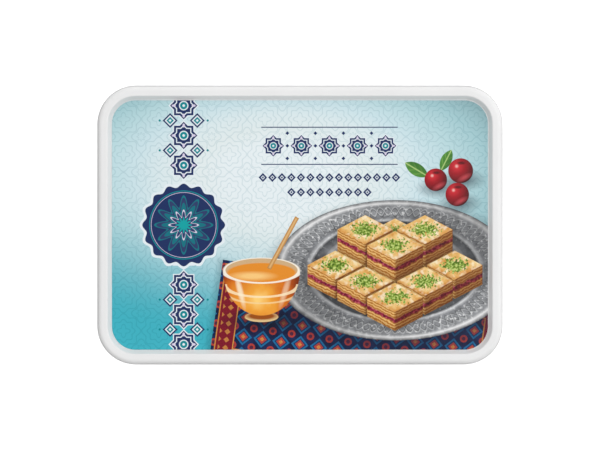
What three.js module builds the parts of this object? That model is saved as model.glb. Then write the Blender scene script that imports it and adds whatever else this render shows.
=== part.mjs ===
// A shut rectangular food tub, in millimetres, +Z up: an injection-moulded tub, the press-on lid that
// covers it, and the printed film in the lid's sunken panel. The origin is the middle of the foot that
// the tub stands on, and the long side runs along X. The tub can't be seen into, so it is solid.
//
// Tub and lid are each drawn as a profile that runs round a rounded rectangle. A point of a profile is
// [inset, z]: how far inside the lid's outer outline it lies, and its height.

import * as THREE from "three";

// Driving dimensions
const length = 180; // the lid's outer outline
const width = 124;
const height = 55; // from the foot to the top of the lid's rim
const cornerRadius = 17.3; // of that outline, seen from above
const wall = 1.0; // moulded wall thickness
const clearance = 0.3; // between tub and lid where they don't touch
const cornerFacets = 12; // in each corner of an outline
const roundFacets = 4; // in each rounded edge of a profile

// The lid
const lid = {
  skirtDepth: 9.5, // from the rim's top to the skirt's lower edge
  draft: 6, // degrees by which the skirt leans in
  shoulderRadius: 2.0, // outer edge of the rim
  topWidth: 1.9, // flat top of the rim
  innerRadius: 0.6, // inner edge of the rim
  recessDepth: 2.6, // from the rim's top to the printed face
  recessLean: 27, // degrees by which the wall of the recess leans back
  footRadius: 0.35, // where that wall meets the panel
  channelRadius: 0.6, // inside corners of the channel under the rim
  snapDepth: 4.4, // from the rim's top to the snap ridge inside the skirt
  snapReach: 0.6,
  snapHeight: 1.5,
};

// The printed film
const film = { thickness: 0.3, gap: 0.15 }; // gap to the foot of the recess wall

// The tub
const tub = {
  beadWidth: 1.8, // the bead that stands in the lid's channel
  beadRadius: 0.7, // its edges
  undercut: 1.0, // how far the neck under the bead lies back from it
  undercutRise: 0.4,
  collarInset: 0.5, // the collar, just below the lid's skirt
  collarGap: 0.6, // between the skirt and the collar
  lipDepth: 3.4, // the collar's turned-down lip
  bandInset: 6.4, // upright band under the collar, which keeps stacked tubs from jamming
  bandHeight: 7.5,
  bandDraft: 0.2,
  bandStep: 1.3, // from the band back to the body wall
  edgeRadius: 0.5,
  draft: 3.5, // how far the body wall leans in down to the base
  cornerRadius: 15, // of the band, seen from above
  baseRadius: 4.0,
  footWidth: 3.2,
  baseRecess: 1.4, // hollow under the base, inside the foot
};

// Heights and insets that follow from these
const skirtBottom = height - lid.skirtDepth;
const panelTop = height - lid.recessDepth - film.thickness;
const panelBottom = panelTop - wall;
const draft = THREE.MathUtils.degToRad(lid.draft);
const skirtRun = (lid.skirtDepth - lid.shoulderRadius) * Math.tan(draft);
const topOuter = skirtRun + lid.shoulderRadius / Math.cos(draft);
const topInner = topOuter + lid.topWidth;
const lean = THREE.MathUtils.degToRad(lid.recessLean);
const ease = Math.tan(Math.PI / 4 - lean / 2); // how much of a radius a round takes up beside that wall
const recessFoot =
  topInner + (height - panelTop) * Math.tan(lean) + (lid.innerRadius + lid.footRadius) * ease;
const panelEdge = recessFoot - (lid.footRadius + wall) * ease;
const channelTop = height - wall;
const channelOuter = skirtRun + wall;
const channelInner = panelEdge - (channelTop - panelBottom) * Math.tan(lean);
const snapTop = height - lid.snapDepth;
const neckInset = channelOuter + clearance + tub.undercut;
const fillTop = panelBottom - clearance;
const bodyInset = tub.bandInset + tub.bandStep;
const baseInset = bodyInset + tub.draft;
const footInset = baseInset + tub.baseRadius;

// Points of a rounded edge between two angles in degrees, about a centre [inset, z]. Angle 0 points
// outwards, away from the tub's middle, and 90 points up.
function roundedEdge([inset, z], radius, from, to) {
  return Array.from({ length: roundFacets + 1 }, (_, i) => {
    const angle = THREE.MathUtils.degToRad(THREE.MathUtils.lerp(from, to, i / roundFacets));
    return [inset - radius * Math.cos(angle), z + radius * Math.sin(angle)];
  });
}

// Corner radii of the lid's outlines, and of the tub's, whose body has a wider corner than its collar.
const lidCorner = (inset) => cornerRadius - inset;
const tubCorner = (inset) =>
  inset < tub.bandInset ? lidCorner(inset) : tub.cornerRadius + tub.bandInset - inset;

// A rounded rectangle that lies `inset` inside the lid's outer outline.
function outline(inset, radius) {
  const x = length / 2 - inset - radius;
  const y = width / 2 - inset - radius;
  const quarter = Math.PI / 2;
  return new THREE.Shape()
    .absarc(x, y, radius, 0, quarter)
    .absarc(-x, y, radius, quarter, 2 * quarter)
    .absarc(-x, -y, radius, 2 * quarter, 3 * quarter)
    .absarc(x, -y, radius, 3 * quarter, 4 * quarter);
}

// The solid that a profile makes as it runs round the outline. A filled solid's profile starts at the
// edge of its bottom face and ends at the edge of its top face. A ring's profile closes on itself.
function runProfile(profile, cornerAt, filled = true) {
  const rings = profile.map(([inset, z]) => ({
    points: outline(inset, cornerAt(inset)).getPoints(cornerFacets / 2),
    z,
  }));
  const count = rings[0].points.length;
  const positions = rings.flatMap(({ points, z }) => points.flatMap((p) => [p.x, p.y, z]));
  const index = [];
  const bands = filled ? rings.length - 1 : rings.length;
  for (let band = 0; band < bands; band++) {
    const below = band * count;
    const above = ((band + 1) % rings.length) * count;
    for (let i = 0; i < count; i++) {
      const next = (i + 1) % count;
      index.push(below + i, below + next, above + next, below + i, above + next, above + i);
    }
  }
  if (filled) {
    const top = (rings.length - 1) * count;
    for (const [a, b, c] of THREE.ShapeUtils.triangulateShape(rings.at(0).points, [])) {
      index.push(a, c, b);
    }
    for (const [a, b, c] of THREE.ShapeUtils.triangulateShape(rings.at(-1).points, [])) {
      index.push(top + a, top + b, top + c);
    }
  }
  const geometry = new THREE.BufferGeometry();
  geometry.setAttribute("position", new THREE.Float32BufferAttribute(positions, 3));
  geometry.setIndex(index);
  geometry.computeVertexNormals();
  return geometry;
}

// The lid: a flat panel, a rim that stands above it all round, and a skirt outside. Under the rim is
// the channel that rests on the tub's bead, and inside the skirt the ridge that snaps under the bead.
function lidGeometry() {
  const radius = lid.channelRadius;
  const channel = [
    ...roundedEdge([channelInner - radius * ease, channelTop - radius], radius, 180 - lid.recessLean, 90),
    ...roundedEdge([channelOuter + radius, channelTop - radius], radius, 90, 0),
  ];
  const snap = [
    [channelOuter, snapTop],
    [channelOuter + lid.snapReach, snapTop - 0.4 * lid.snapHeight],
    [channelOuter + lid.snapReach, snapTop - 0.6 * lid.snapHeight],
    [channelOuter, snapTop - lid.snapHeight],
  ];
  const profile = [
    [panelEdge, panelBottom],
    ...channel,
    ...snap,
    [wall, skirtBottom],
    [0, skirtBottom],
    ...roundedEdge([topOuter, height - lid.shoulderRadius], lid.shoulderRadius, lid.draft, 90),
    ...roundedEdge([topInner, height - lid.innerRadius], lid.innerRadius, 90, 180 - lid.recessLean),
    ...roundedEdge([recessFoot, panelTop + lid.footRadius], lid.footRadius, -lid.recessLean, -90),
  ];
  return runProfile(profile, lidCorner);
}

// The tub, with its foot, its body wall, the band, the collar with its lip, and the neck. It is filled
// to just under the lid's panel.
function tubGeometry() {
  const collarTop = skirtBottom - tub.collarGap;
  const collarBottom = collarTop - wall;
  const bandBottom = collarBottom - tub.bandHeight;

  const base = [
    [footInset + tub.footWidth + tub.baseRecess, tub.baseRecess],
    [footInset + tub.footWidth, 0],
    ...roundedEdge([footInset, tub.baseRadius], tub.baseRadius, -90, 0),
  ];
  const bandEdge = tub.bandInset + tub.bandDraft + tub.edgeRadius;
  const body = [
    ...roundedEdge([bodyInset - tub.edgeRadius, bandBottom - tub.edgeRadius], tub.edgeRadius, 180, 90),
    ...roundedEdge([bandEdge, bandBottom + tub.edgeRadius], tub.edgeRadius, -90, 0),
    [tub.bandInset, collarBottom],
  ];
  const collar = [
    [tub.collarInset + wall, collarBottom],
    [tub.collarInset + wall, collarTop - tub.lipDepth],
    [tub.collarInset, collarTop - tub.lipDepth],
    ...roundedEdge([tub.collarInset + wall, collarTop - wall], wall, 0, 90),
  ];
  const neck = [
    [neckInset, collarTop],
    [neckInset, fillTop],
  ];
  return runProfile([...base, ...body, ...collar, ...neck], tubCorner);
}

// The bead round the top of the tub, which carries the lid. It is a ring on the tub's neck.
function beadGeometry() {
  const outer = channelOuter + clearance;
  const inner = outer + tub.beadWidth;
  const centre = channelTop - tub.beadRadius;
  const profile = [
    [inner, fillTop],
    [neckInset, fillTop],
    [outer, fillTop + tub.undercutRise],
    ...roundedEdge([outer + tub.beadRadius, centre], tub.beadRadius, 0, 90),
    ...roundedEdge([inner - tub.beadRadius, centre], tub.beadRadius, 90, 180),
  ];
  return runProfile(profile, tubCorner, false);
}

// The printed film, which covers the panel inside the rim.
function filmGeometry() {
  const inset = recessFoot + film.gap;
  const shape = outline(inset, lidCorner(inset));
  const options = { depth: film.thickness, bevelEnabled: false, curveSegments: cornerFacets / 2 };
  return new THREE.ExtrudeGeometry(shape, options).translate(0, 0, panelTop);
}

const whitePolypropylene = new THREE.MeshStandardMaterial({ color: 0xf1f1ef, roughness: 0.38 });
const printedFilm = new THREE.MeshStandardMaterial({ color: 0xa9d6db, roughness: 0.3 });

function namedMesh(name, geometry, material) {
  const mesh = new THREE.Mesh(geometry, material);
  mesh.name = name;
  return mesh;
}

const pack = new THREE.Group();
pack.add(
  namedMesh("tub", tubGeometry(), whitePolypropylene),
  namedMesh("tub_bead", beadGeometry(), whitePolypropylene),
  namedMesh("lid", lidGeometry(), whitePolypropylene),
  namedMesh("label", filmGeometry(), printedFilm),
);

export default pack;
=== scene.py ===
# A shut food tub of white moulded polypropylene, and the printed film in the panel of its lid.

import math
import bpy
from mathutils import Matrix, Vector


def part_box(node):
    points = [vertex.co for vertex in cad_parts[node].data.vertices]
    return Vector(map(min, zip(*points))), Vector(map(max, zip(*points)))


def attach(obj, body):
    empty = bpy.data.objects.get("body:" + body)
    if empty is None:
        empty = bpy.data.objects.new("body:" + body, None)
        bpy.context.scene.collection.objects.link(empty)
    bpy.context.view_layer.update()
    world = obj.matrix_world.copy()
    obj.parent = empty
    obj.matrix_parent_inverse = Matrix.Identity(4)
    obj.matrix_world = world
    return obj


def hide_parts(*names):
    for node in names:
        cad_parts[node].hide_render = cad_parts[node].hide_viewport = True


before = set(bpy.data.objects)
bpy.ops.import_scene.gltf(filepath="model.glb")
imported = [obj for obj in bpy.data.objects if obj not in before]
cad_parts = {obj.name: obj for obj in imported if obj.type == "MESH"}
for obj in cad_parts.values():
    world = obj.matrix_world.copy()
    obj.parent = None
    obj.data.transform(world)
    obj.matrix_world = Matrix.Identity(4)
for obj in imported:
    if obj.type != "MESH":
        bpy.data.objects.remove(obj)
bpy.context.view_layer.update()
mm = 0.001

lidLow, lidHigh = (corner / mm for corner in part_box("lid"))
labelLow, labelHigh = (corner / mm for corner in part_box("label"))
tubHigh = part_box("tub")[1] / mm
beadLow, beadHigh = (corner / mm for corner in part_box("tub_bead"))
print("frame loaded, lid", [round(side, 1) for side in lidHigh - lidLow])

# A profile is a list of (inset, height) in mm: how far inside the lid's outline, and how high.


def arc(centre, radius, start, end, steps=5):
    # points on a rounded edge; 0 degrees points outwards and 90 up
    turns = [math.radians(start + (end - start) * i / steps) for i in range(steps + 1)]
    return [(centre[0] - radius * math.cos(t), centre[1] + radius * math.sin(t)) for t in turns]


cornerSegments = 24  # in each corner of an outline


def startOutline(name, inset, height, corner):
    # a flat face with rounded corners, left selected in edit mode
    bpy.ops.object.select_all(action="DESELECT")
    bpy.ops.mesh.primitive_plane_add(size=1)
    piece = bpy.context.object
    piece.name = piece.data.name = name
    bpy.ops.object.mode_set(mode="EDIT")
    bpy.ops.mesh.select_all(action="SELECT")
    width, depth = ((side - 2 * inset) * mm for side in (lidHigh - lidLow).xy)
    bpy.ops.transform.resize(value=(width, depth, 1))
    bpy.ops.transform.translate(value=(0, 0, height * mm))
    bpy.ops.mesh.bevel(offset=corner * mm, segments=cornerSegments, affect="VERTICES")
    bpy.ops.mesh.select_mode(type="FACE")
    bpy.ops.mesh.select_all(action="SELECT")
    return piece


def followProfile(profile, up=1):
    # insets the selected face from each point of the profile to the next; up is -1 on an underside
    for (inset, height), (nextInset, nextHeight) in zip(profile, profile[1:]):
        bpy.ops.mesh.inset(
            thickness=(nextInset - inset) * mm,
            depth=(nextHeight - height) * up * mm,
            use_even_offset=True,
        )


def selectRim():
    # the open edge of the mesh
    bpy.ops.mesh.select_all(action="DESELECT")
    bpy.ops.mesh.select_mode(type="EDGE")
    bpy.ops.mesh.select_non_manifold(
        extend=False, use_wire=False, use_multi_face=False, use_non_contiguous=False, use_verts=False
    )


def closeRim():
    # a face over the open edge, left selected
    selectRim()
    bpy.ops.mesh.edge_face_add()
    bpy.ops.mesh.select_mode(type="FACE")


def openEnd():
    # takes the selected face away and leaves the mesh ready for another to be joined on
    bpy.ops.mesh.delete(type="FACE")
    bpy.ops.object.mode_set(mode="OBJECT")


def openTop(piece):
    # takes the topmost face away
    bpy.ops.object.mode_set(mode="EDIT")
    bpy.ops.mesh.select_mode(type="FACE")
    bpy.ops.mesh.select_all(action="DESELECT")
    bpy.ops.object.mode_set(mode="OBJECT")
    max(piece.data.polygons, key=lambda face: face.center.z).select = True
    bpy.ops.object.mode_set(mode="EDIT")
    openEnd()


def joinMesh(piece, other):
    bpy.ops.object.select_all(action="DESELECT")
    other.select_set(True)
    piece.select_set(True)
    bpy.context.view_layer.objects.active = piece
    bpy.ops.object.join()


def joinOn(piece, other):
    # joins another mesh on, and closes the gap between the two open edges
    joinMesh(piece, other)
    bpy.ops.object.mode_set(mode="EDIT")
    selectRim()
    bpy.ops.mesh.bridge_edge_loops()
    bpy.ops.object.mode_set(mode="OBJECT")


smoothAngle = 40  # degrees; an edge that turns more than this stays sharp


def finishPiece(piece, material, slot, *nodes):
    bpy.ops.object.mode_set(mode="OBJECT")
    bpy.ops.object.select_all(action="DESELECT")
    piece.select_set(True)
    bpy.context.view_layer.objects.active = piece
    bpy.ops.object.shade_smooth_by_angle(angle=math.radians(smoothAngle))
    piece.data.materials.clear()
    piece.data.materials.append(material)
    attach(piece, "root")
    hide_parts(*nodes)
    print(piece.name, len(piece.data.polygons), "faces")


def linear(hexColour):
    channels = [int(hexColour[i:i + 2], 16) / 255 for i in (1, 3, 5)]
    return [c / 12.92 if c <= 0.04045 else ((c + 0.055) / 1.055) ** 2.4 for c in channels] + [1]


def newMaterial(name):
    material = bpy.data.materials.new(name)
    material.use_nodes = True
    material.node_tree.nodes.clear()
    return material, material.node_tree


def addNode(tree, kind, links, operation=None, give=0, stops=(), **settings):
    # links are its sockets' values or the sockets that feed them, in order or by name or number;
    # settings are the node's other properties
    node = tree.nodes.new("ShaderNode" + kind)
    if operation:
        node.operation = operation
    for name, value in settings.items():
        setattr(node, name, value)
    for number, (position, hexColour) in enumerate(stops):
        elements = node.color_ramp.elements
        element = elements[number] if number < len(elements) else elements.new(position)
        element.position = position
        element.color = linear(hexColour)
    for socket, value in (links.items() if isinstance(links, dict) else enumerate(links)):
        if isinstance(value, bpy.types.NodeSocket):
            tree.links.new(value, node.inputs[socket])
        else:
            node.inputs[socket].default_value = linear(value) if isinstance(value, str) else value
    return node.outputs[give] if node.outputs else node


plastic = {
    "cloud": 26,  # mm between the clouds that the cooling melt leaves
    "cloudEdges": (0.35, 0.65),  # of the noise, between the two shades
    "ior": 1.49,
    "grain": 0.6,  # mm; the mould's spark grain is finer, and is drawn as coarse as it shows
}
# the tub's white is painted lighter than the lid's: painted light, which lifts its walls out of the
# shade that the studio leaves on them; its mould has the coarser grain
tubFinish = {"colour": "#F4F4F4", "cloudColour": "#F1F1F1", "roughness": 0.5, "grainDepth": 0.02}
lidFinish = {"colour": "#E9E9E9", "cloudColour": "#E6E6E6", "roughness": 0.38, "grainDepth": 0.008}


def shadePlastic(tree, colour, roughness, relief, depth):
    # polypropylene of a colour, with a relief of a depth in mm
    bump = addNode(tree, "Bump", {"Height": relief, "Distance": depth * mm})
    shader = addNode(tree, "BsdfPrincipled", {
        "Base Color": colour, "Roughness": roughness, "IOR": plastic["ior"], "Normal": bump,
    })
    addNode(tree, "OutputMaterial", {"Surface": shader})


def mouldedPolypropylene(name, finish):
    # Injection-moulded polypropylene: white, a little cloudy, with a soft wide sheen on its rounds.
    material, tree = newMaterial(name)
    place = addNode(tree, "TexCoord", {}, give="Object")
    place = addNode(tree, "Mapping", {"Vector": place, "Scale": (1 / mm, 1 / mm, 1 / mm)})
    cloud = addNode(tree, "TexNoise", {"Vector": place, "Scale": 1 / plastic["cloud"]})
    shades = zip(plastic["cloudEdges"], (finish["cloudColour"], finish["colour"]))
    colour = addNode(tree, "ValToRGB", {"Fac": cloud}, stops=shades)
    grain = addNode(tree, "TexNoise", {"Vector": place, "Scale": 1 / plastic["grain"]})
    shadePlastic(tree, colour, finish["roughness"], grain, finish["grainDepth"])
    return material


lid = {
    "corner": 17.3,
    "wall": 1.0,
    "edge": 0.3,  # round of the skirt's lower edge
    "draft": 6,  # degrees by which the skirt leans in
    "shoulder": 2.0,
    "rimWidth": 1.9,
    "innerRound": 0.6,
    "recessLean": 27,  # degrees by which the wall of the recess leans back
    "footRound": 0.35,
    "ridge": 0.6,  # the snap ridge's reach
    "ridgeLow": 3.6,  # from the skirt's lower edge
    "ridgeHeight": 1.5,
    "ridgeFlat": (0.4, 0.6),  # shares of that height between which it is flat
    "hold": 0.25,  # a flat keeps an even shade up to this far from a round
}


def makeLid(material):
    top, bottom, panel = lidHigh.z, lidLow.z, labelLow.z
    edge, wall, hold, shoulder = lid["edge"], lid["wall"], lid["hold"], lid["shoulder"]
    inside, footRound, lean = lid["innerRound"], lid["footRound"], lid["recessLean"]
    skirtRun = (top - shoulder - bottom) * math.tan(math.radians(lid["draft"]))
    outer = skirtRun + shoulder / math.cos(math.radians(lid["draft"]))
    inner = outer + lid["rimWidth"]
    slope = math.tan(math.radians(lean))
    ease = math.tan(math.radians(45 - lean / 2))  # of a radius, beside the leaning wall
    foot = inner + (top - panel) * slope + (inside + footRound) * ease
    above = [
        (0, bottom + edge),
        *arc((outer, top - shoulder), shoulder, lid["draft"], 90, 8),
        (outer + hold, top),
        (inner - hold, top),
        *arc((inner, top - inside), inside, 90, 180 - lean),
        *arc((foot, panel + footRound), footRound, -lean, -90),
        (foot + hold, panel),
    ]
    channelOuter = skirtRun + wall
    panelEdge = foot - (footRound + wall) * ease
    channelInner = panelEdge - (top - panel) * slope
    ridge, ridgeInset = bottom + lid["ridgeLow"], channelOuter + lid["ridge"]
    skirt = [
        *arc((edge, bottom + edge), edge, 0, -90),
        *arc((wall - edge, bottom + edge), edge, -90, -180),
        (channelOuter, ridge),
        *((ridgeInset, ridge + share * lid["ridgeHeight"]) for share in lid["ridgeFlat"]),
    ]
    channel = [
        (channelOuter, ridge + lid["ridgeHeight"]),
        *arc((channelOuter + inside, top - wall - inside), inside, 0, 90),
        *arc((channelInner - inside * ease, top - wall - inside), inside, 90, 180 - lean),
        (panelEdge, panel - wall),
        (panelEdge + hold, panel - wall),
    ]
    piece = startOutline("press_on_lid", *above[0], lid["corner"])
    followProfile(above)
    closeRim()
    followProfile(skirt, up=-1)
    openEnd()
    underside = startOutline("underside", *channel[0], lid["corner"] - channelOuter)
    bpy.ops.mesh.flip_normals()
    followProfile(channel, up=-1)
    bpy.ops.object.mode_set(mode="OBJECT")
    joinOn(piece, underside)
    finishPiece(piece, material, "lid_plastic", "lid")


tub = {
    "wall": 1.0,
    "edge": 0.3,
    "collar": 0.5,  # inset of the collar
    "collarGap": 0.6,  # below the skirt of the lid
    "neckStep": 1.0,  # how far the neck lies back from the bead
    "beadWidth": 1.8,
    "beadRound": 0.7,
    "undercut": 0.4,
    "lip": 2.4,  # of the turned-down edge, below the collar's plate
    "bandInset": 6.4,
    "bandHeight": 7.5,
    "bandDraft": 0.2,
    "bandStep": 1.3,
    "bandCorner": 15,
    "bandRound": 0.5,
    "draft": 3.5,
    "baseRound": 4.0,
    "footWidth": 3.2,
    "footEase": 0.1,  # of its inner edge
    "baseRecess": 1.4,
    "panelInset": 27,  # of the stiffening step under the base
    "panelCorner": 8,
    "panelStep": 0.8,
    "gate": 2.8,  # radius of the mark that the melt's gate leaves under the base
    "gateHeight": 0.35,
    "gateProfile": [(0.1, 0), (0.6, 0), (0.68, 0.7), (0.8, 0.4)],  # shares of its radius and height
    "hold": 0.25,
}


def hangBoss(profile):
    # makes the started outline a closed boss on an underside, a little sunk into it
    bpy.ops.mesh.flip_normals()
    followProfile(profile, up=-1)
    closeRim()
    bpy.ops.object.mode_set(mode="OBJECT")
    return bpy.context.object


def makeBasePanel(root, hold):
    # the stiffening step, which keeps the base flat as it cools
    inset, step = tub["panelInset"], tub["panelStep"]
    low = tub["baseRecess"] - step
    startOutline("base_panel", inset, root, tub["panelCorner"])
    return hangBoss([
        (inset, root),
        (inset + hold, low + hold / 2),
        (inset + 2 * hold, low),
        (inset + 3 * hold, low),
    ])


def makeGateMark(root):
    # a low round button with a nipped-off middle
    radius, rise = tub["gate"], tub["gateHeight"]
    low = tub["baseRecess"] - tub["panelStep"] - rise
    bpy.ops.object.select_all(action="DESELECT")
    bpy.ops.mesh.primitive_circle_add(
        vertices=32, radius=radius * mm, fill_type="NGON", location=(0, 0, root * mm)
    )
    bpy.ops.object.mode_set(mode="EDIT")
    bpy.ops.mesh.select_mode(type="FACE")
    bpy.ops.mesh.select_all(action="SELECT")
    button = [(share * radius, low + lift * rise) for share, lift in tub["gateProfile"]]
    return hangBoss([(0, root), *button])


def makeTub(material):
    wall, edge, hold = tub["wall"], tub["edge"], tub["hold"]
    fill, beadTop = tubHigh.z, beadHigh.z
    collarTop = lidLow.z - tub["collarGap"]
    plate = collarTop - wall
    lip = plate - tub["lip"]
    collar, beadRound = tub["collar"], tub["beadRound"]
    bead = beadLow.x - lidLow.x
    beadInner = bead + tub["beadWidth"]
    neck = bead + tub["neckStep"]
    shoulder = [
        *arc((collar + wall, plate), wall, 0, 90),
        (collar + wall + hold, collarTop),
        *arc((neck - edge, collarTop + edge), edge, -90, -180, 3),
    ]
    turnedEdge = [
        (collar, plate),
        *arc((collar + edge, lip + edge), edge, 0, -90, 3),
        *arc((collar + wall - edge, lip + edge), edge, -90, -180, 3),
        *arc((collar + wall + edge, plate - edge), edge, 0, 90, 3),
        (tub["bandInset"] - edge, plate),
    ]
    beadUp = [
        (bead, fill + tub["undercut"]),
        *arc((bead + beadRound, beadTop - beadRound), beadRound, 0, 90),
        *arc((beadInner - beadRound, beadTop - beadRound), beadRound, 90, 180),
        (beadInner, fill),
        (beadInner + hold, fill),
    ]
    beadDown = [beadUp[0], (neck, fill), (neck, collarTop + 2 * edge)]

    bandLow = plate - tub["bandHeight"]
    bandEdge = tub["bandInset"] + tub["bandDraft"] + tub["bandRound"]
    wallTop = tub["bandInset"] + tub["bandStep"]
    wallFoot = wallTop + tub["draft"]
    base = wallFoot + tub["baseRound"]
    footInner = base + tub["footWidth"]
    roof, ease = tub["baseRecess"], tub["footEase"]
    recess = footInner + roof
    down = [
        (tub["bandInset"], plate - edge),
        *arc((bandEdge, bandLow + tub["bandRound"]), tub["bandRound"], 0, -90),
        *arc((wallTop - tub["bandRound"], bandLow - tub["bandRound"]), tub["bandRound"], 90, 180),
        *arc((base, tub["baseRound"]), tub["baseRound"], 0, -90, 10),
        (base + hold, 0),
        (footInner - hold, 0),
        (footInner, ease),
        (recess - hold, roof - ease),
        (recess, roof),
        (recess + hold, roof),
    ]

    piece = startOutline("food_tub", *shoulder[0], lid["corner"] - collar)
    followProfile(shoulder)
    closeRim()
    followProfile(turnedEdge, up=-1)
    openEnd()
    body = startOutline("body", *down[0], tub["bandCorner"])
    bpy.ops.mesh.flip_normals()
    followProfile(down, up=-1)
    bpy.ops.object.mode_set(mode="OBJECT")
    joinOn(piece, body)
    openTop(piece)
    top = startOutline("bead", *beadUp[0], lid["corner"] - bead)
    followProfile(beadUp)
    closeRim()
    followProfile(beadDown, up=-1)
    openEnd()
    joinOn(piece, top)
    joinMesh(piece, makeBasePanel(roof + edge, hold))
    joinMesh(piece, makeGateMark(roof))
    finishPiece(piece, material, "tub_plastic", "tub", "tub_bead")


ink = {
    "navy": "#1F3160",
    "teal": "#0B8790",
    "paleLine": "#E4EDF2",
    "lavender": "#D9CFE6",
    "leafTeal": "#17717F",
    "leafNavy": "#2F3F69",
    "eye": "#12A0A2",
    "edge": 0.12,  # mm over which an ink fades at its edge
}


def layInk(tree, under, distance, colour, blur=ink["edge"], strength=1, blend="MIX"):
    # prints a colour where the distance from a shape's outline, in mm, is below zero
    cover = addNode(tree, "MapRange", {
        "Value": distance, "From Min": blur / 2, "From Max": -blur / 2, "To Max": strength,
    })
    links = {0: cover, 6: under, 7: colour}
    return addNode(tree, "Mix", links, give=2, data_type="RGBA", blend_type=blend)


def splitPlace(tree, place):
    # how far to the right and how far up a place lies
    x = addNode(tree, "VectorMath", [place, (1, 0, 0)], "DOT_PRODUCT", give=1)
    y = addNode(tree, "VectorMath", [place, (0, 1, 0)], "DOT_PRODUCT", give=1)
    return x, y


def discDistance(tree, place, centre, radius):
    reach = addNode(tree, "VectorMath", [place, (*centre, 0)], "DISTANCE", give=1)
    return addNode(tree, "Math", [reach, radius], "SUBTRACT")


def reachFrom(tree, place, centre, half, turn=0):
    # how far a place lies from a centre, in shares of half a width and height
    local = addNode(tree, "Mapping", {
        "Vector": place, "Location": (*centre, 0), "Rotation": (0, 0, turn), "Scale": (*half, 1),
    }, vector_type="TEXTURE")
    return addNode(tree, "VectorMath", [local], "LENGTH", give=1)


def ovalDistance(tree, place, centre, half, turn=0):
    reach = reachFrom(tree, place, centre, half, turn)
    return addNode(tree, "Math", [reach, min(half), -min(half)], "MULTIPLY_ADD")


def lozengeDistance(tree, place, centre, half):
    local = addNode(tree, "Mapping", {
        "Vector": place, "Location": (*centre, 0), "Scale": (*half, 1),
    }, vector_type="TEXTURE")
    local = addNode(tree, "VectorMath", [local], "ABSOLUTE")
    reach = addNode(tree, "VectorMath", [local, (1, 1, 0)], "DOT_PRODUCT", give=1)
    slope = half[0] * half[1] / math.hypot(*half)
    return addNode(tree, "Math", [reach, slope, -slope], "MULTIPLY_ADD")


def boxDistance(tree, place, centre, half, turn=0):
    local = addNode(tree, "Mapping", {
        "Vector": place, "Location": (*centre, 0), "Rotation": (0, 0, turn),
    }, vector_type="TEXTURE")
    local = addNode(tree, "VectorMath", [local], "ABSOLUTE")
    local = addNode(tree, "VectorMath", [local, (*half, 0)], "SUBTRACT")
    x, y = splitPlace(tree, local)
    return addNode(tree, "Math", [x, y], "MAXIMUM")


def strokeDistance(tree, distance, half):
    # to a line along a shape's outline, from half of that line's width
    line = addNode(tree, "Math", [distance], "ABSOLUTE")
    return addNode(tree, "Math", [line, half], "SUBTRACT")


def roundAngle(tree, place, centre, half=(1, 1)):
    # the reach from a centre, and the angle round it in radians
    local = addNode(tree, "Mapping", {
        "Vector": place, "Location": (*centre, 0), "Scale": (*half, 1),
    }, vector_type="TEXTURE")
    reach = addNode(tree, "VectorMath", [local], "LENGTH", give=1)
    x, y = splitPlace(tree, local)
    return reach, addNode(tree, "Math", [y, x], "ARCTAN2")


def flowerDistance(tree, reach, angle, radius, wave, petals):
    # an outline that swings in and out as it goes round
    swing = addNode(tree, "Math", [angle, petals], "MULTIPLY")
    swing = addNode(tree, "Math", [swing], "COSINE")
    edge = addNode(tree, "Math", [swing, wave, radius], "MULTIPLY_ADD")
    return addNode(tree, "Math", [reach, edge], "SUBTRACT")


endless = 999  # mm, more than the whole print


def repeatPlace(tree, place, centre, pitch):
    # the place in the nearest of a row or a net of motifs; a pitch of 0 doesn't repeat
    half = [step / 2 if step else endless for step in pitch]
    local = addNode(tree, "VectorMath", [place, (*centre, 0)], "SUBTRACT")
    high, low = (*half, 1), (-half[0], -half[1], -1)
    return addNode(tree, "VectorMath", [local, high, low], "WRAP")


def shadeNoise(tree, place, size, detail=2, rough=0.5):
    # soft mottling about 0.5, in clouds of about that size in mm
    noise = addNode(tree, "TexNoise", {
        "Vector": place, "Scale": 1 / size, "Detail": detail, "Roughness": rough,
    })
    return addNode(tree, "MapRange", {"Value": noise, "From Min": 0.3, "From Max": 0.7})


def printOvals(tree, under, place, centre, ovals, size=1):
    # ovals, one over the other; each has a place from the centre and half a width and height, both
    # times the size, and then a turn, a colour, a blur in mm and a strength
    for (across, up), (wide, high), turn, colour, blur, strength in ovals:
        middle = (centre[0] + across * size, centre[1] + up * size)
        oval = ovalDistance(tree, place, middle, (wide * size, high * size), turn)
        under = layInk(tree, under, oval, colour, blur=blur, strength=strength)
    return under


ground = {
    "lightPlace": (-9, 24),
    "lightHalf": (95, 45.5),
    "fadeBelow": 0.6,  # how fast it fades below that place, against above
    "shades": [
        (0.22, "#E6EFF2"), (0.34, "#E1EBEC"), (0.47, "#DBE9EC"), (0.59, "#CBE2E8"),
        (0.72, "#B7D7DC"), (0.84, "#A1C8CE"), (0.97, "#89AEB4"),
    ],
    "shadesEnd": 1.15,  # of lightHalf
    "teal": "#3FB0C0",
    "tealSlope": (-0.18, -1, 0),  # it deepens downwards and a little to the left
    "tealReach": 58,  # mm from the middle to the full teal
}


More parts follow.
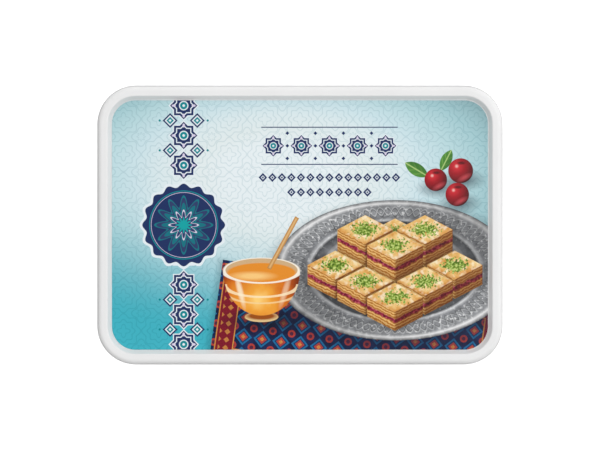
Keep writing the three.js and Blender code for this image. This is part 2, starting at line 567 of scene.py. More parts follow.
def printGround(tree, place):
    # a pale ground that darkens to its corners and deepens to teal below
    local = addNode(tree, "Mapping", {
        "Vector": place, "Location": (*ground["lightPlace"], 0), "Scale": (*ground["lightHalf"], 1),
    }, vector_type="TEXTURE")
    below = addNode(tree, "VectorMath", [local, (-1, -ground["fadeBelow"], 0)], "MULTIPLY")
    fade = addNode(tree, "VectorMath", [local, below], "MAXIMUM")
    fade = addNode(tree, "VectorMath", [fade], "LENGTH", give=1)
    fade = addNode(tree, "Math", [fade, ground["shadesEnd"]], "DIVIDE")
    colour = addNode(tree, "ValToRGB", {"Fac": fade}, stops=ground["shades"])
    low = addNode(tree, "VectorMath", [place, ground["tealSlope"]], "DOT_PRODUCT", give=1)
    reach = {"Value": low, "From Max": ground["tealReach"]}
    low = addNode(tree, "MapRange", reach, interpolation_type="SMOOTHSTEP")
    return addNode(tree, "Mix", {0: low, 6: colour, 7: ground["teal"]}, give=2, data_type="RGBA")


net = {
    "pitch": 15.6,
    "rosette": [(6.9, 0.7, 8), (4.6, 0.5, 8), (2.2, 0.7, 4)],  # each line's radius, wave and petals
    "knot": [(3.5, 0.7, 4), (1.5, 0.35, 8)],  # the same, between four rosettes
    "ink": "#BFD3D8",
    "strength": 0.42,
    "line": 0.24,  # half of a line's width
    "blur": 0.3,
}


def printNet(tree, under, place):
    # a faint net of scalloped rosettes, with knots between them
    pitch = net["pitch"]
    for shift, lines in ((0, net["rosette"]), (pitch / 2, net["knot"])):
        local = repeatPlace(tree, place, (shift, shift), (pitch, pitch))
        reach, angle = roundAngle(tree, local, (0, 0))
        for radius, wave, petals in lines:
            line = flowerDistance(tree, reach, angle, radius, wave, petals)
            line = strokeDistance(tree, line, net["line"])
            under = layInk(tree, under, line, net["ink"], net["blur"], net["strength"], "MULTIPLY")
    return under


star = {  # shares of half its width
    "points": [(0.82, "paleLine"), (0.74, "navy"), (0.58, "paleLine"), (0.5, "navy")],
    "petalPlace": 0.76,
    "petal": (0.15, 0.09),
    "eye": [(0.36, "paleLine"), (0.28, "teal"), (0.1, "paleLine")],
}


def printStar(tree, under, place, size):
    # an eight-pointed star of two crossed squares, with four petals and a ringed eye
    local = addNode(tree, "VectorMath", [place], "ABSOLUTE")
    x, y = splitPlace(tree, local)
    far = addNode(tree, "Math", [x, y], "MAXIMUM")
    near = addNode(tree, "Math", [x, y], "MINIMUM")
    diagonal = math.sqrt(0.5)
    slant = addNode(tree, "VectorMath", [local, (diagonal, diagonal, 0)], "DOT_PRODUCT", give=1)
    points = addNode(tree, "Math", [far, slant], "MINIMUM")
    fold = addNode(tree, "CombineXYZ", [far, near])
    for share, colour in star["points"]:
        reach = addNode(tree, "Math", [points, share * size], "SUBTRACT")
        under = layInk(tree, under, reach, ink[colour])
    half = [share * size for share in star["petal"]]
    petal = ovalDistance(tree, fold, (star["petalPlace"] * size, 0), half)
    under = layInk(tree, under, petal, ink["lavender"])
    for share, colour in star["eye"]:
        under = layInk(tree, under, discDistance(tree, fold, (0, 0), share * size), ink[colour])
    return under


column = {
    "centre": -51.4,
    "pitch": 13.19,
    "star": 5.8,  # half of its width
    "sidePlace": 6.0,  # of the lozenges, from the column's middle
    "lozenge": 3.3,
    "steps": [(1.0, "navy"), (0.72, "paleLine"), (0.5, "teal"), (0.2, "paleLine")],  # of a lozenge
    "dotPlace": 10.6,
    "dot": 0.5,
    "clearRound": 24.5,  # no lozenges this near to the medallion's middle
}

medallion = {
    "centre": (-51.4, 0),
    "radius": 17.5,
    # lengths from here on are shares of the radius
    "scallops": [(1.07, "paleLine"), (1.0, "navy")],
    "scallopWave": 0.045,
    "scallopCount": 16,
    "rings": [(0.86, 0.012, "teal"), (0.82, 0.006, "lavender")],
    "leaves": [
        (0.6, 0.15, "leafTeal"), (0.54, 0.15, "leafNavy"), (0.44, 0.12, "leafTeal"),
        (0.3, 0.09, "lavender"), (0.26, 0.08, "leafNavy"), (0.16, 0.05, "eye"),
    ],
    "leafCount": 12,
}


def printColumn(tree, under, place):
    # a hanging column of stars, with stepped lozenges and dots between them
    pitch = column["pitch"]
    local = repeatPlace(tree, place, (column["centre"], 0), (0, pitch))
    stars = under = printStar(tree, under, local, column["star"])
    between = repeatPlace(tree, place, (column["centre"], pitch / 2), (0, pitch))
    between = addNode(tree, "VectorMath", [between], "ABSOLUTE")
    for share, colour in column["steps"]:
        half = share * column["lozenge"]
        step = lozengeDistance(tree, between, (column["sidePlace"], 0), (half, half))
        under = layInk(tree, under, step, ink[colour])
    dot = discDistance(tree, between, (column["dotPlace"], 0), column["dot"])
    under = layInk(tree, under, dot, ink["teal"])
    clear = discDistance(tree, place, medallion["centre"], column["clearRound"])
    return layInk(tree, under, clear, stars)


def printMedallion(tree, under, place):
    # a scalloped navy medallion with a many-leaved rosette, bare of words
    radius, scallops, leaves = medallion["radius"], medallion["scallopCount"], medallion["leafCount"]
    reach, angle = roundAngle(tree, place, medallion["centre"])
    wave = medallion["scallopWave"] * radius
    for outer, colour in medallion["scallops"]:
        edge = flowerDistance(tree, reach, angle, outer * radius, wave, scallops)
        under = layInk(tree, under, edge, ink[colour])
    for middle, half, colour in medallion["rings"]:
        ring = addNode(tree, "Math", [reach, middle * radius], "SUBTRACT")
        under = layInk(tree, under, strokeDistance(tree, ring, half * radius), ink[colour])
    for outer, wave, colour in medallion["leaves"]:
        leaf = flowerDistance(tree, reach, angle, outer * radius, wave * radius, leaves)
        under = layInk(tree, under, leaf, ink[colour])
    return under


frieze = {
    "centre": (13, 35),
    "pitch": 12.4,
    "stars": 5,
    "star": 4.57,
    "knot": 0.85,
    "knotRows": (0, 5.58),  # heights of the knots between the stars
    "linePlace": 8.2,  # above and below the stars
    "line": 0.22,
    "rows": [((13, 21), 15), ((13, 14.5), 9)],  # centre, and an odd number of lozenges
    "step": 4.2,
    "lozenge": [((1.9, 2.0), "navy"), ((0.9, 0.95), "paleLine"), ((0.5, 0.5), "navy")],
}


def printFrieze(tree, under, place):
    # a row of stars between two lines, over two thin rows of lozenges
    pitch, knot, step = frieze["pitch"], frieze["knot"], frieze["step"]
    before = under
    local = repeatPlace(tree, place, frieze["centre"], (pitch, 0))
    under = printStar(tree, under, local, frieze["star"])
    links = addNode(tree, "VectorMath", [local], "ABSOLUTE")
    for height in frieze["knotRows"]:
        lozenge = lozengeDistance(tree, links, (pitch / 2, height), (knot, knot))
        under = layInk(tree, under, lozenge, ink["navy"])
    line = boxDistance(tree, links, (0, frieze["linePlace"]), (pitch, frieze["line"]))
    under = layInk(tree, under, line, ink["navy"])
    half = (frieze["stars"] * pitch / 2 - knot, pitch)
    under = layInk(tree, before, boxDistance(tree, place, frieze["centre"], half), under)
    for centre, count in frieze["rows"]:
        before = under
        local = repeatPlace(tree, place, centre, (step, 0))
        for half, colour in frieze["lozenge"]:
            under = layInk(tree, under, lozengeDistance(tree, local, (0, 0), half), ink[colour])
        row = boxDistance(tree, place, centre, (count * step / 2, step))
        under = layInk(tree, before, row, under)
    return under


mat = {
    "centre": (26, -48),
    "half": (64, 24),
    "turn": math.radians(-8),
    "shadowPlace": (25, -49),
    "shadow": "#28525E",
    "navy": "#141F45",
    "crimson": "#86192B",
    "gold": "#DE9748",
    "blue": "#1F7CB4",
    "orange": "#CE4630",
    "mottle": [(0, "#0E1736"), (1, "#1F3163")],
    "mottleSize": 5,
    "cell": 8.4,
    "figure": [(0.46, "blue"), (0.34, "navy"), (0.25, "orange"), (0.12, "gold")],  # of a cell
    "disc": [(0.2, "orange"), (0.1, "navy")],  # the same, between four figures
    "figureStrength": 0.8,
    "border": 5.6,  # from the edge to the middle of the border
    "bands": [(4.2, "gold"), (3.7, "crimson")],  # half of each band's width
    "knotBand": 2.6,
    "knotStep": 3.6,
    "knot": 1.3,
    "thread": 0.7,  # drawn as coarse as it shows; a napkin's thread is finer
    "threadSwing": (0.6, 0.6, 0),
    "threadShade": "#A8A8A8",
}


def printMat(tree, under, place):
    # a woven napkin, navy with a crimson border and a net of small figures
    half, turn, cell = mat["half"], mat["turn"], mat["cell"]
    shadow = boxDistance(tree, place, mat["shadowPlace"], half, turn)
    before = layInk(tree, under, shadow, mat["shadow"], blur=5, strength=0.6)
    local = addNode(tree, "Mapping", {
        "Vector": place, "Location": (*mat["centre"], 0), "Rotation": (0, 0, turn),
    }, vector_type="TEXTURE")
    cloth = shadeNoise(tree, local, mat["mottleSize"])
    under = addNode(tree, "ValToRGB", {"Fac": cloth}, stops=mat["mottle"])
    figure = repeatPlace(tree, local, (0, 0), (cell, cell))
    for share, colour in mat["figure"]:
        step = lozengeDistance(tree, figure, (0, 0), (share * cell, share * cell))
        under = layInk(tree, under, step, mat[colour], strength=mat["figureStrength"])
    corner = repeatPlace(tree, local, (cell / 2, cell / 2), (cell, cell))
    for share, colour in mat["disc"]:
        disc = discDistance(tree, corner, (0, 0), share * cell)
        under = layInk(tree, under, disc, mat[colour], strength=mat["figureStrength"])
    inside = boxDistance(tree, local, (0, 0), half)
    border = addNode(tree, "Math", [inside, mat["border"]], "ADD")
    for width, colour in mat["bands"]:
        under = layInk(tree, under, strokeDistance(tree, border, width), mat[colour])
    step = repeatPlace(tree, local, (0, 0), (mat["knotStep"], mat["knotStep"]))
    lozenge = lozengeDistance(tree, step, (0, 0), (mat["knot"], mat["knot"]))
    band = strokeDistance(tree, border, mat["knotBand"])
    knot = addNode(tree, "Math", [band, lozenge], "MAXIMUM")
    under = layInk(tree, under, knot, mat["gold"], strength=0.75)
    turns = math.tau / mat["thread"]
    threads = addNode(tree, "VectorMath", [local, (turns, turns, 0)], "MULTIPLY")
    threads = addNode(tree, "VectorMath", [threads], "SINE")
    weave = addNode(tree, "VectorMath", [threads, mat["threadSwing"]], "DOT_PRODUCT", give=1)
    under = layInk(tree, under, weave, mat["threadShade"], blur=1.2, strength=0.5, blend="MULTIPLY")
    return layInk(tree, before, inside, under)


tray = {
    "centre": (42, -20),
    "half": (53, 31),
    "shadow": [((1.5, -4), (55, 32), 0, "#0E1730", 9, 0.75)],  # as printOvals takes it
    "shades": [
        (0, "#A9ABAE"), (0.5, "#BFC1C4"), (0.585, "#FAFAFB"), (0.62, "#8A8C90"), (0.69, "#5C5E62"),
        (0.715, "#E4E5E7"), (0.75, "#94969A"), (0.92, "#A9ABAE"), (0.955, "#FAFAFA"), (1, "#6A6C70"),
    ],
    "leaves": 44,
    "leafBand": 0.845,  # of half
    "leafWave": 0.055,
    "leafLines": [(-0.016, 0.5, "#55575A"), (0, 0.45, "#E2E4E5")],  # shift, half width in mm, ink
    "leafBlur": 0.9,  # mm
    "glint": "#FFFFFF",
    "glintSize": 1.5,
    "glintRare": 0.86,  # of the noise; only what lies above shines
    "glintBand": 0.1,  # half of the band's width, a share of half
    "sheen": "#8C8C8C",
    "sheens": 2,  # dull arcs round the tray
    "sheenTurn": 1.9,  # radians
    "dents": [(0, "#5A5A5A"), (1, "#C4C4C4")],
    "dentSize": 3.2,
    "dentStrength": 0.5,
}


def printTray(tree, under, place):
    # an oval pewter tray: a hammered well, and an embossed rim of leaves
    centre, half = tray["centre"], tray["half"]
    band, wave, blur = tray["leafBand"], tray["leafWave"], tray["leafBlur"] / half[0]
    before = printOvals(tree, under, place, centre, tray["shadow"])
    reach, angle = roundAngle(tree, place, centre, half)
    under = addNode(tree, "ValToRGB", {"Fac": reach}, stops=tray["shades"])
    for shift, thick, colour in tray["leafLines"]:
        for side in (wave, -wave):
            leaf = flowerDistance(tree, reach, angle, band + shift, side, tray["leaves"])
            leaf = strokeDistance(tree, leaf, thick / half[0])
            under = layInk(tree, under, leaf, colour, blur=blur, strength=0.7)
    rim = addNode(tree, "Math", [reach, band], "SUBTRACT")
    rim = strokeDistance(tree, rim, tray["glintBand"])
    glint = shadeNoise(tree, place, tray["glintSize"], detail=1)
    glint = addNode(tree, "Math", [tray["glintRare"], glint], "SUBTRACT")
    glint = addNode(tree, "Math", [glint, rim], "MAXIMUM")
    under = layInk(tree, under, glint, tray["glint"], blur=0.2, strength=0.8)
    sheen = addNode(tree, "Math", [angle, tray["sheens"], tray["sheenTurn"]], "MULTIPLY_ADD")
    sheen = addNode(tree, "Math", [sheen], "COSINE")
    under = layInk(tree, under, sheen, tray["sheen"], blur=3.4, strength=0.8, blend="MULTIPLY")
    dents = shadeNoise(tree, place, tray["dentSize"], detail=3)
    dents = addNode(tree, "ValToRGB", {"Fac": dents}, stops=tray["dents"])
    links = {0: tray["dentStrength"], 6: under, 7: dents}
    under = addNode(tree, "Mix", links, give=2, data_type="RGBA", blend_type="OVERLAY")
    return layInk(tree, before, ovalDistance(tree, place, centre, half), under)


pastry = {
    "half": (12.6, 6.7),  # of a piece's top, as it is drawn
    "height": 8.6,
    "gap": 0.6,
    "edge": 0.01,  # over which a piece hides what is behind it, a share of half
    "origin": (42, -3.5),  # the middle of the furthest piece's top
    "step": (13.2, 7.1),
    "rows": [(0,), (-1, 1), (-2, 0, 2), (-1, 1), (0,)],  # across, in steps
    "upper": [(-1, 1), (1, 1), (0, 2)],  # across and forward, in steps, of the second layer
    "noiseStep": 7.3,  # mm from piece to piece in the noise, so that no two look alike
    "shade": (0.9, 1.3, 0.5),  # where a piece's shadow starts and ends, and its depth
    "shadeOnHeap": 0.8,  # of that shadow, where it falls on another piece
    # mm between the clouds of each
    "clouds": {"dough": 2.6, "jam": 1.1, "crust": 4.2, "syrup": 2.2, "crumb": 1.0, "nut": 0.8},
    "layers": 7,
    "flaky": 1.1,  # mm by which the leaves of dough wave
    "dough": [(0, "#A9682A"), (0.5, "#CF9348"), (1, "#E8BE78")],
    "jam": [(0, "#5E1026"), (0.6, "#95243F"), (1, "#C4566A")],
    "jamPlace": 0.56,  # of the height, from the top
    "jamHalf": 0.95,
    "turned": "#B9A595",  # shade of the side that is turned away
    "foot": "#8A6A58",
    "crust": [(0, "#CF8E42"), (0.4, "#E6B467"), (0.7, "#F0CD8C"), (1, "#F8E3B4")],
    "baked": "#E2AE66",
    "bakedEdge": 0.9,
    "syrup": "#FFF6DC",
    "syrupRare": 0.72,
    "nuts": [(0, "#4E6B1E"), (0.6, "#8AA63E"), (1, "#C3D27A")],
    "nutHalf": (4.6, 2.4),  # of the patch of crumbs
    "nutScatter": 3.2,  # mm by which the noise breaks the patch up
    "nutReach": 1.2,
}


def pastryPlaces():
    # back to front, then the second layer
    stepX, stepY = pastry["step"]
    x, y = pastry["origin"]
    for row, steps in enumerate(pastry["rows"]):
        for across in steps:
            yield x + across * stepX, y - row * stepY
    for across, row in pastry["upper"]:
        yield x + across * stepX, y - row * stepY + pastry["height"]


def pastrySides(tree, local, sink, x):
    # the cut sides: thin leaves of dough, and a crimson filling between them
    height, size = pastry["height"], pastry["clouds"]
    wobble = shadeNoise(tree, local, size["dough"], detail=3, rough=0.6)
    flaky = addNode(tree, "Math", [wobble, pastry["flaky"], sink], "MULTIPLY_ADD")
    leaf = addNode(tree, "Math", [flaky, math.tau * pastry["layers"] / height], "MULTIPLY")
    leaf = addNode(tree, "Math", [leaf], "SINE")
    leaf = addNode(tree, "MapRange", {"Value": leaf, "From Min": -1, "From Max": 1})
    side = addNode(tree, "ValToRGB", {"Fac": leaf}, stops=pastry["dough"])
    middle = addNode(tree, "Math", [flaky, pastry["jamPlace"] * height], "SUBTRACT")
    middle = strokeDistance(tree, middle, pastry["jamHalf"])
    jam = shadeNoise(tree, local, size["jam"], detail=1)
    jam = addNode(tree, "ValToRGB", {"Fac": jam}, stops=pastry["jam"])
    side = layInk(tree, side, middle, jam, blur=0.7)
    away = addNode(tree, "Math", [0, x], "SUBTRACT")
    side = layInk(tree, side, away, pastry["turned"], blur=1.2, blend="MULTIPLY")
    foot = addNode(tree, "Math", [height, sink], "SUBTRACT")
    return layInk(tree, side, foot, pastry["foot"], blur=5, blend="MULTIPLY")


def pastryTops(tree, local, sink):
    # the baked tops: blistered, darker at the cut edges, glossy with syrup, with green nut crumbs
    size = pastry["clouds"]
    crust = shadeNoise(tree, local, size["crust"], detail=4, rough=0.62)
    top = addNode(tree, "ValToRGB", {"Fac": crust}, stops=pastry["crust"])
    rim = addNode(tree, "Math", [-pastry["bakedEdge"], sink], "SUBTRACT")
    top = layInk(tree, top, rim, pastry["baked"], blur=1.8, blend="MULTIPLY", strength=0.6)
    gloss = shadeNoise(tree, local, size["syrup"], detail=1)
    gloss = addNode(tree, "Math", [pastry["syrupRare"], gloss], "SUBTRACT")
    top = layInk(tree, top, gloss, pastry["syrup"], blur=0.5, strength=0.6)
    crumbs = shadeNoise(tree, local, size["crumb"], detail=1)
    flat = addNode(tree, "VectorMath", [local, (1, 1, 0)], "MULTIPLY")
    patch = ovalDistance(tree, flat, (0, 0), pastry["nutHalf"])
    patch = addNode(tree, "Math", [crumbs, -pastry["nutScatter"], patch], "MULTIPLY_ADD")
    patch = addNode(tree, "Math", [patch, pastry["nutReach"]], "ADD")
    green = shadeNoise(tree, local, size["nut"], detail=0)
    green = addNode(tree, "ValToRGB", {"Fac": green}, stops=pastry["nuts"])
    return layInk(tree, top, patch, green, blur=0.3)


def printPastries(tree, under, place):
    # a heap of lozenge-cut pastries; each point is shaded once, for the piece in front there
    width, depth = (side - pastry["gap"] / 2 for side in pastry["half"])
    height, edge = pastry["height"], pastry["edge"]
    shadeFrom, shadeTo, shadeDepth = pastry["shade"]
    local, light, drawn = place, 1.0, 0.0
    for number, (x, y) in enumerate(pastryPlaces()):
        block = addNode(tree, "VectorMath", [place, (x, y - height / 2, 0)], "SUBTRACT")
        block = addNode(tree, "VectorMath", [block], "ABSOLUTE")
        block = addNode(tree, "VectorMath", [block, (0, height / 2, 0)], "SUBTRACT")
        block = addNode(tree, "VectorMath", [block, (0, 0, 0)], "MAXIMUM")
        block = [block, (1 / width, 1 / depth, 0)]
        reach = addNode(tree, "VectorMath", block, "DOT_PRODUCT", give=1)
        cover = {"Value": reach, "From Min": 1 + edge, "From Max": 1 - edge}
        cover = addNode(tree, "MapRange", cover)
        shade = addNode(tree, "MapRange", {
            "Value": reach, "From Min": shadeFrom, "From Max": shadeTo, "To Min": shadeDepth,
        })
        light = addNode(tree, "Math", [light, shade], "MULTIPLY")
        light = addNode(tree, "Mix", {0: cover, 2: light, 3: 1.0}, give=0)
        drawn = addNode(tree, "Math", [drawn, cover], "MAXIMUM")
        piece = (x, y, -number * pastry["noiseStep"])
        own = addNode(tree, "VectorMath", [place, piece], "SUBTRACT")
        local = addNode(tree, "Mix", {0: cover, 4: local, 5: own}, give=1, data_type="VECTOR")

    # sink is how far below its top's near edge a point of a piece lies
    x, y = splitPlace(tree, local)
    across = addNode(tree, "Math", [x], "ABSOLUTE")
    rise = addNode(tree, "Math", [across, depth / width, -depth], "MULTIPLY_ADD")
    sink = addNode(tree, "Math", [rise, y], "SUBTRACT")
    sides, tops = pastrySides(tree, local, sink, x), pastryTops(tree, local, sink)
    faces = layInk(tree, sides, sink, tops, blur=0.25)
    shadow = addNode(tree, "CombineColor", [light, light, light])
    multiply = {"give": 2, "data_type": "RGBA", "blend_type": "MULTIPLY"}
    under = addNode(tree, "Mix", {0: 1, 6: under, 7: shadow}, **multiply)
    faces = addNode(tree, "Mix", {0: pastry["shadeOnHeap"], 6: faces, 7: shadow}, **multiply)
    return addNode(tree, "Mix", {0: drawn, 6: under, 7: faces}, give=2, data_type="RGBA")


berries = {
    "places": [((60, 20), 5.0), ((71, 24), 5.5), ((69.5, 13.5), 5.2)],  # middle and radius
    "shadow": [((0.19, -0.75), (1.25, 0.6), 0, "#2C3C48", 4, 0.7)],  # as printOvals takes it
    "lightPlace": (-0.32, 0.36),
    "lightReach": 1.5,
    "shades": [
        (0, "#F8C8C0"), (0.12, "#CE2A34"), (0.4, "#A01320"), (0.75, "#6A0A15"), (1, "#38050C"),
    ],
    "marks": [
        ((0.3, -0.55), (0.45, 0.16), 0.5, "#D8525A", 1.2, 0.6),  # light from the table
        ((0.05, 0.62), (0.3, 0.12), 0, "#3C060E", 0.5, 0.8),  # where the stalk was
    ],
}

berryLeaf = {
    "places": [((51.5, 24.5), 12, 2.6), ((64.6, 28.6), 10.5, 1.1)],  # middle, length and turn
    "light": "#4E8A35",
    "dark": "#2F6426",
    "vein": "#79A94C",
    "spine": "#A9C878",
    "arcPlace": 0.42,  # two arcs make the outline; from here on, lengths are shares of the leaf's
    "arcRadius": 0.65,
    "veinSlant": 1.4,
    "veinStep": 0.14,
    "veinHalf": 0.03,
    "spineHalf": 0.022,
}


def printLeaf(tree, under, place, centre, length, turn):
    # a pointed leaf, darker on one side of its spine
    local = addNode(tree, "Mapping", {
        "Vector": place, "Location": (*centre, 0), "Rotation": (0, 0, turn),
        "Scale": (length, length, 1),
    }, vector_type="TEXTURE")
    upper = discDistance(tree, local, (0, -berryLeaf["arcPlace"]), berryLeaf["arcRadius"])
    lower = discDistance(tree, local, (0, berryLeaf["arcPlace"]), berryLeaf["arcRadius"])
    outline = addNode(tree, "Math", [upper, lower], "MAXIMUM")
    outline = addNode(tree, "Math", [outline, length], "MULTIPLY")
    along, side = splitPlace(tree, local)
    slant = addNode(tree, "Math", [side], "ABSOLUTE")
    slant = addNode(tree, "Math", [slant, berryLeaf["veinSlant"]], "MULTIPLY")
    rib = addNode(tree, "Math", [along, slant], "SUBTRACT")
    rib = addNode(tree, "Math", [rib, berryLeaf["veinStep"]], "PINGPONG")
    rib = addNode(tree, "Math", [rib, berryLeaf["veinHalf"]], "SUBTRACT")
    green = layInk(tree, berryLeaf["light"], rib, berryLeaf["vein"], blur=0.05, strength=0.7)
    green = layInk(tree, green, side, berryLeaf["dark"], blur=0.3, strength=0.6)
    spine = strokeDistance(tree, side, berryLeaf["spineHalf"])
    green = layInk(tree, green, spine, berryLeaf["spine"], blur=0.02)
    return layInk(tree, under, outline, green)


def printBerries(tree, under, place):
    # three red berries with their leaves, on the table behind the tray
    for centre, radius in berries["places"]:
        under = printOvals(tree, under, place, centre, berries["shadow"], radius)
    for centre, length, turn in berryLeaf["places"]:
        under = printLeaf(tree, under, place, centre, length, turn)
    for centre, radius in berries["places"]:
        lit = [middle + share * radius for middle, share in zip(centre, berries["lightPlace"])]
        reach = berries["lightReach"] * radius
        skin = reachFrom(tree, place, lit, (reach, reach))
        skin = addNode(tree, "ValToRGB", {"Fac": skin}, stops=berries["shades"])
        under = layInk(tree, under, discDistance(tree, place, centre, radius), skin)
        under = printOvals(tree, under, place, centre, berries["marks"], radius)
    return under


bowl = {
    "centre": (-17, -20),  # of the rim
    "half": (17, 5.6),
    "depth": 20,
    "base": [  # this and the lists of ovals below are as printOvals takes them
        ((3, -22.5), (15, 4.5), 0, "#0A1226", 5, 0.8),
        ((0, -20.6), (7.4, 2.3), 0, "#E9C98F", 0.12, 0.95),
        ((0, -20.2), (6.6, 1.7), 0, "#9A4E14", 0.8, 1),
    ],
    "honey": [
        (0, "#FFD278"), (0.3, "#F2A53A"), (0.62, "#D9741C"), (0.86, "#A9480F"), (1, "#7C300A"),
    ],
    "glowPlace": (-19, -33),
    "glowHalf": (20, 20),
    "swirl": 0.22,  # how much the honey's streaks shift its shade
    "swirlSize": 9,
    "swirlShift": 0.1,
    "hoops": [  # depth, half width, colour and strength
        (6.2, 0.45, "#FFE9BE", 0.8),
        (9.0, 0.35, "#F8D9A0", 0.7),
    ],
    "hoopHalf": (16.66, 5.6),
    "streaks": [
        ((-9.5, -9), (1.1, 6.5), 0.25, "#FFF1D2", 1.0, 0.75),
        ((10.5, -9), (1.1, 6.5), -0.3, "#FFF1D2", 1.0, 0.4),
    ],
    "top": [
        ((0, 0), (17, 5.6), 0, "#D8B98C", 0.12, 0.85),
        ((0, -1.2), (15.2, 4.4), 0, "#E58E2B", 0.4, 1),
        ((-4, -2.6), (8, 1.6), 0, "#FFD58A", 1.6, 0.8),
    ],
    "lip": "#FBF4E6",
    "lipHalf": 0.35,
    "stickPlace": (-7.5, -8),
    "stickHalf": (0.95, 13),
    "stickTurn": -0.5,
    "stick": "#C08A4C",
    "stickLight": "#E2B77C",
    "stickEdge": 0.6,  # from its edge to its lighter middle
}


def printBowl(tree, under, place):
    # a footed glass bowl of honey, with a wooden stick
    centre, half = bowl["centre"], bowl["half"]
    before = under = printOvals(tree, under, place, centre, bowl["base"])
    down = addNode(tree, "VectorMath", [place, (0, 1, 0)], "DOT_PRODUCT", give=1)
    down = addNode(tree, "Math", [down, centre[1]], "SUBTRACT")
    rim = ovalDistance(tree, place, centre, half)
    body = ovalDistance(tree, place, centre, (half[0], bowl["depth"]))
    body = addNode(tree, "Math", [body, down], "MAXIMUM")
    whole = addNode(tree, "Math", [rim, body], "MINIMUM")

    glass = reachFrom(tree, place, bowl["glowPlace"], bowl["glowHalf"])
    swirl = shadeNoise(tree, place, bowl["swirlSize"])
    glass = addNode(tree, "Math", [swirl, bowl["swirl"], glass], "MULTIPLY_ADD")
    glass = addNode(tree, "Math", [glass, bowl["swirlShift"]], "SUBTRACT")
    under = addNode(tree, "ValToRGB", {"Fac": glass}, stops=bowl["honey"])
    for depth, thick, colour, strength in bowl["hoops"]:
        hoop = ovalDistance(tree, place, (centre[0], centre[1] - depth), bowl["hoopHalf"])
        hoop = strokeDistance(tree, hoop, thick)
        front = addNode(tree, "Math", [down, depth], "ADD")
        hoop = addNode(tree, "Math", [hoop, front], "MAXIMUM")
        under = layInk(tree, under, hoop, colour, strength=strength)
    under = printOvals(tree, under, place, centre, bowl["streaks"] + bowl["top"])
    lip = strokeDistance(tree, rim, bowl["lipHalf"])
    under = layInk(tree, under, lip, bowl["lip"], strength=0.9)
    under = layInk(tree, before, whole, under, blur=0.25)

    stick = boxDistance(tree, place, bowl["stickPlace"], bowl["stickHalf"], bowl["stickTurn"])
    light = addNode(tree, "Math", [stick, bowl["stickEdge"]], "ADD")
    grain = layInk(tree, bowl["stick"], light, bowl["stickLight"], blur=0.6)
    return layInk(tree, under, stick, grain)


film = {
    "edge": 0.06,
    "hold": 0.3,  # a flat keeps an even shade up to this far from its edge
    "roughness": 0.2,
    "waves": 18,  # mm between the shallow waves that the moulded-in film keeps
    "waveDepth": 0.02,
}


def printedFilm():
    # Printed polypropylene film, moulded into the lid: an even satin ink with faint shallow waves.
    material, tree = newMaterial("printed_polypropylene_film")
    place = addNode(tree, "TexCoord", {}, give="Object")
    place = addNode(tree, "Mapping", {"Vector": place, "Scale": (1 / mm, 1 / mm, 0)})
    colour = printGround(tree, place)
    for printLayer in (
        printNet, printColumn, printMedallion, printFrieze, printMat, printTray, printPastries,
        printBerries, printBowl,
    ):
        colour = printLayer(tree, colour, place)
    waves = shadeNoise(tree, place, film["waves"])
    shadePlastic(tree, colour, film["roughness"], waves, film["waveDepth"])
    print("print made of", len(tree.nodes), "nodes")
    return material


def makeFilm(material):
    low, high, edge, hold = labelLow.z, labelHigh.z, film["edge"], film["hold"]
    inset = labelLow.x - lidLow.x
    start = (inset, low + edge)
    piece = startOutline("printed_film", *start, lid["corner"] - inset)
    followProfile([start, *arc((inset + edge, high - edge), edge, 0, 90, 3), (inset + hold, high)])
    closeRim()
    followProfile([start, (inset + edge, low), (inset + hold, low)], up=-1)
    finishPiece(piece, material, "label_print", "label")


makeTub(mouldedPolypropylene("satin_moulded_polypropylene", tubFinish))
makeLid(mouldedPolypropylene("smooth_moulded_polypropylene", lidFinish))
makeFilm(printedFilm())

lightTable = {
    "size": 6,  # m
    "drop": 0.02,  # mm below the foot, so that the two faces don't fight
    "colour": "#F4F4F4",
    "roughness": 0.9,
    "glowColour": "#FFFFFF",
    "glow": 0.6,
}


def makeFloor():
    # white acrylic over a light table; it is clear from below, so that the foot can be seen
    bpy.ops.object.select_all(action="DESELECT")
    under = (0, 0, -lightTable["drop"] * mm)
    bpy.ops.mesh.primitive_plane_add(size=lightTable["size"], location=under)
    floor = bpy.context.object
    floor.name = "floor"
    floor.visible_diffuse = False
    floor.visible_glossy = False
    floor.visible_shadow = False
    material, tree = newMaterial("lit_white_acrylic")
    back = addNode(tree, "NewGeometry", {}, give="Backfacing")
    sheet = addNode(tree, "BsdfPrincipled", {
        "Base Color": lightTable["colour"],
        "Roughness": lightTable["roughness"],
        "Specular IOR Level": 0.0,
        "Emission Color": lightTable["glowColour"],
        "Emission Strength": lightTable["glow"],
    })
    clear = addNode(tree, "BsdfTransparent", {})
    shader = addNode(tree, "MixShader", [back, sheet, clear])
    addNode(tree, "OutputMaterial", {"Surface": shader})
    floor.data.materials.append(material)
    print("floor made")


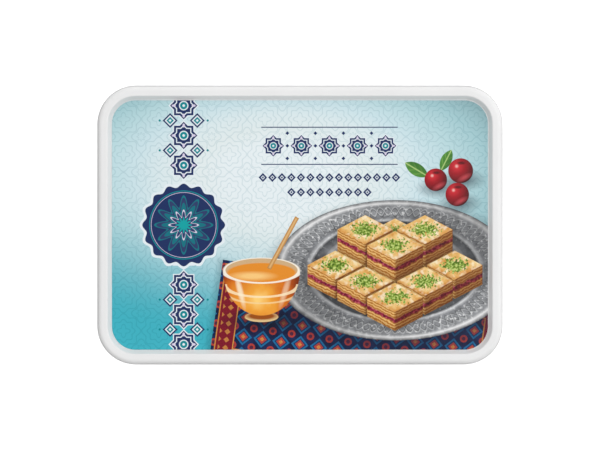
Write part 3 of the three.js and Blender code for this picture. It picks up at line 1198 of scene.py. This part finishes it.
studio = {
    # from straight below, past the horizon at 0.5, to straight overhead, where the camera shades it
    "sky": [
        (0, "#000000"), (0.03, "#686868"), (0.14, "#808080"), (0.26, "#D0D0D0"), (0.43, "#DADADA"),
        (0.49, "#989898"), (0.63, "#949494"), (0.8, "#D0D0D0"), (0.92, "#EAEAEA"),
        (0.97, "#8C8C8C"), (1, "#404040"),
    ],
    "skyStrength": 1.57,
    "skySwing": (0.46, 0.45, 0),  # what is added to that strength towards the right and the back
    "lamps": [  # name, place in m, size in m and power in W
        ("key_light", (0.9, 0.35, 2.5), 1.2, 15),
        ("low_fill", (0, -0.15, -2.0), 1.0, 4),
    ],
}


def makeLights():
    world = bpy.data.worlds.new("studio")
    bpy.context.scene.world = world
    world.use_nodes = True
    tree = world.node_tree
    tree.nodes.clear()
    direction = addNode(tree, "TexCoord", {}, give="Generated")
    rise = addNode(tree, "VectorMath", [direction, (0, 0, 1)], "DOT_PRODUCT", give=1)
    height = addNode(tree, "MapRange", {"Value": rise, "From Min": -1, "From Max": 1})
    sky = addNode(tree, "ValToRGB", {"Fac": height}, stops=studio["sky"])
    swing = addNode(tree, "VectorMath", [direction, studio["skySwing"]], "DOT_PRODUCT", give=1)
    strength = addNode(tree, "Math", [swing, studio["skyStrength"]], "ADD")
    light = addNode(tree, "Background", {"Color": sky, "Strength": strength})
    addNode(tree, "OutputWorld", {"Surface": light})

    for name, place, size, power in studio["lamps"]:
        bpy.ops.object.light_add(type="AREA", location=place)
        lamp = bpy.context.object
        lamp.name = name
        lamp.data.size = size
        lamp.data.energy = power
        lamp.rotation_euler = (-lamp.location).to_track_quat("-Z", "Y").to_euler()
    print("lights made")


view = {
    "lens": 200,  # mm
    "sensor": 36,  # mm across
    "width": 266.4,  # mm across the picture, at the lid's widest outline
    "clipEnd": 10,  # m
}


def makeCamera():
    # straight above the middle of the lid
    distance = view["width"] * view["lens"] / view["sensor"]
    bpy.ops.object.camera_add(location=(0, 0, (lidLow.z + distance) * mm))
    camera = bpy.context.object
    camera.data.lens = view["lens"]
    camera.data.sensor_width = view["sensor"]
    camera.data.clip_end = view["clipEnd"]
    bpy.context.scene.camera = camera
    bpy.context.scene.view_settings.view_transform = "Standard"
    print("camera made")


makeFloor()
makeLights()
makeCamera()
